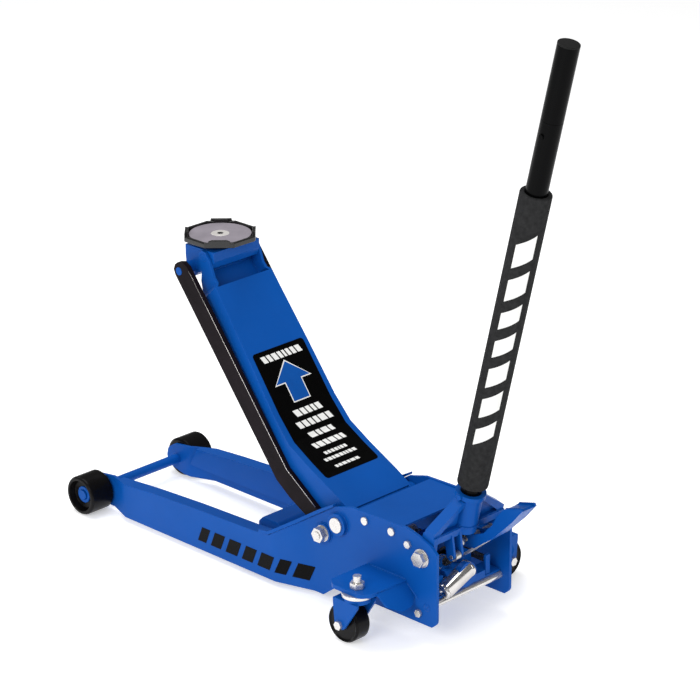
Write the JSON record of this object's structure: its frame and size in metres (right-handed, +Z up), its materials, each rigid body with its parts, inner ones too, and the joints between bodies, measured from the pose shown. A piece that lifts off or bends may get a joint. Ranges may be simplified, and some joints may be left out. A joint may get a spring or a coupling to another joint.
{
  "type": "hydraulic floor jack",
  "caption": "Low-profile long-reach hydraulic floor jack with raised lift arm, round saddle, pumping handle with foam sleeve, foot pedal and rear swivel casters.",
  "frame": {"origin": "on the floor, under the middle of the front axle", "axes": "+X towards the handle end, +Y to the jack's right, +Z up"},
  "size_m": [1.1759, 0.465, 1.1577],
  "materials": {
    "blue_paint": "gloss powder coat",
    "dark_paint": "satin",
    "gloss_black": "gloss",
    "zinc": "bright zinc plate",
    "steel": "ground",
    "spring_steel": "oiled",
    "cast_black": "painted",
    "grey_pad": "phosphated",
    "tyre_black": "satin",
    "foam": "foam",
    "plastic": "satin"
  },
  "bodies": {
    "chassis": {"side_frame_left": "blue_paint", "side_frame_right": "blue_paint", "front_cross_member": "blue_paint", "top_cover": "blue_paint", "cover_screws": "zinc", "rear_tie_rod": "zinc", "frame_bolts": "zinc", "lift_shaft": "zinc", "shaft_collars": "blue_paint", "link_bolts": "zinc", "link_nuts": "zinc", "front_axle": "blue_paint", "axle_clips": "blue_paint", "reservoir": "blue_paint", "filler_plug": "zinc", "hydraulic_cylinder": "cast_black", "pump_block": "blue_paint", "pump_mount": "blue_paint", "yoke_bolts": "zinc", "caster_bracket_left": "blue_paint", "caster_bracket_right": "blue_paint", "king_bolts": "zinc", "king_nuts": "zinc", "caster_races": "zinc", "return_springs": "spring_steel", "plunger_spring": "spring_steel"},
    "arm": {"lift_arm": "blue_paint", "arm_tip_pin": "blue_paint", "arm_lug_pin": "steel"},
    "rod_left": {"radius_rod_left": "dark_paint"},
    "rod_right": {"radius_rod_right": "dark_paint"},
    "head": {"saddle_head": "blue_paint", "head_link_pin": "blue_paint"},
    "saddle": {"saddle_dish": "cast_black", "saddle_plate": "grey_pad", "saddle_screw": "zinc"},
    "ram": {"ram_crosshead": "steel", "ram_rod": "steel"},
    "yoke": {"handle_yoke": "blue_paint", "socket_screw": "zinc", "roller_pin": "steel", "pedal_pin": "steel"},
    "roller": {"pump_roller": "steel"},
    "handle": {"handle_lower_tube": "gloss_black", "handle_foam": "foam", "handle_upper_tube": "gloss_black", "handle_end_cap": "plastic"},
    "button": {"snap_button": "gloss_black"},
    "pedal": {"foot_pedal": "blue_paint", "pedal_strap": "zinc"},
    "plunger": {"pump_plunger": "steel"},
    "valve": {"release_valve_screw": "steel"},
    "fork_left": {"caster_fork_left": "blue_paint", "caster_axle_left": "zinc"},
    "fork_right": {"caster_fork_right": "blue_paint", "caster_axle_right": "zinc"},
    "caster_left": {"caster_wheel_left": "tyre_black"},
    "caster_right": {"caster_wheel_right": "tyre_black"},
    "wheel_left": {"front_wheel_left": "tyre_black"},
    "wheel_right": {"front_wheel_right": "tyre_black"}
  },
  "joints": [
    {"name": "arm_lift", "type": "hinge", "parent": "chassis", "child": "arm", "pos_m": [0.669, 0, 0.169], "axis": [0, 1, 0], "range_deg": [-57, 0]},
    {"name": "rod_left_swing", "type": "hinge", "parent": "chassis", "child": "rod_left", "pos_m": [0.631, -0.0902, 0.14], "axis": [0, 1, 0], "range_deg": [-57, 0]},
    {"name": "rod_right_swing", "type": "hinge", "parent": "chassis", "child": "rod_right", "pos_m": [0.631, 0.0902, 0.14], "axis": [0, 1, 0], "range_deg": [-57, 0]},
    {"name": "head_level", "type": "hinge", "parent": "arm", "child": "head", "pos_m": [0.27694, 0, 0.58797], "axis": [0, 1, 0], "range_deg": [0, 57]},
    {"name": "saddle_swivel", "type": "hinge", "parent": "head", "child": "saddle", "pos_m": [0.254, 0, 0.602], "axis": [0, 0, 1], "continuous": true},
    {"name": "ram_slide", "type": "slide", "parent": "chassis", "child": "ram", "axis": [-1, 0, 0], "range_m": [-0.0575, 0], "deforming": ["return_springs"]},
    {"name": "handle_tilt", "type": "hinge", "parent": "chassis", "child": "yoke", "pos_m": [0.88, 0, 0.168], "axis": [0, 1, 0], "range_deg": [-13, 50]},
    {"name": "roller_spin", "type": "hinge", "parent": "yoke", "child": "roller", "pos_m": [0.9015, -0.034, 0.1574], "axis": [0, 1, 0], "continuous": true},
    {"name": "handle_twist", "type": "hinge", "parent": "yoke", "child": "handle", "pos_m": [0.88, 0, 0.168], "axis": [0.2334, 0, 0.9724], "range_deg": [-90, 90]},
    {"name": "button_press", "type": "slide", "parent": "handle", "child": "button", "axis": [0, 1, 0], "range_m": [0, 0.005]},
    {"name": "pedal_press", "type": "hinge", "parent": "yoke", "child": "pedal", "pos_m": [0.88, 0, 0.168], "axis": [0, 1, 0], "range_deg": [0, 10]},
    {"name": "plunger_stroke", "type": "slide", "parent": "chassis", "child": "plunger", "axis": [-0.7771, 0, -0.6293], "range_m": [-0.0054, 0.0201], "deforming": ["plunger_spring"]},
    {"name": "valve_turn", "type": "hinge", "parent": "chassis", "child": "valve", "pos_m": [0.88, 0, 0.168], "axis": [0.3453, 0, 0.9385], "range_deg": [-90, 90]},
    {"name": "caster_swivel_left", "type": "hinge", "parent": "chassis", "child": "fork_left", "pos_m": [0.799, -0.187, 0.1], "axis": [0, 0, 1], "continuous": true},
    {"name": "caster_spin_left", "type": "hinge", "parent": "fork_left", "child": "caster_left", "pos_m": [0.778, -0.187, 0.038], "axis": [0, 1, 0], "continuous": true},
    {"name": "wheel_spin_left", "type": "hinge", "parent": "chassis", "child": "wheel_left", "pos_m": [0, -0.1365, 0.04], "axis": [0, 1, 0], "continuous": true},
    {"name": "caster_swivel_right", "type": "hinge", "parent": "chassis", "child": "fork_right", "pos_m": [0.799, 0.187, 0.1], "axis": [0, 0, 1], "continuous": true},
    {"name": "caster_spin_right", "type": "hinge", "parent": "fork_right", "child": "caster_right", "pos_m": [0.799, 0.208, 0.038], "axis": [1, 0, 0], "continuous": true},
    {"name": "wheel_spin_right", "type": "hinge", "parent": "chassis", "child": "wheel_right", "pos_m": [0, 0.1365, 0.04], "axis": [0, 1, 0], "continuous": true}
  ],
  "couplings": [
    {"joint": "rod_left_swing", "follows": "arm_lift", "ratio": 1},
    {"joint": "rod_right_swing", "follows": "arm_lift", "ratio": 1},
    {"joint": "head_level", "follows": "arm_lift", "ratio": -1},
    {"joint": "ram_slide", "follows": "arm_lift", "m_per_rad": 0.057554},
    {"joint": "plunger_stroke", "follows": "handle_tilt", "m_per_rad": 0.0228},
    {"joint": "valve_turn", "follows": "handle_twist", "ratio": 1}
  ]
}
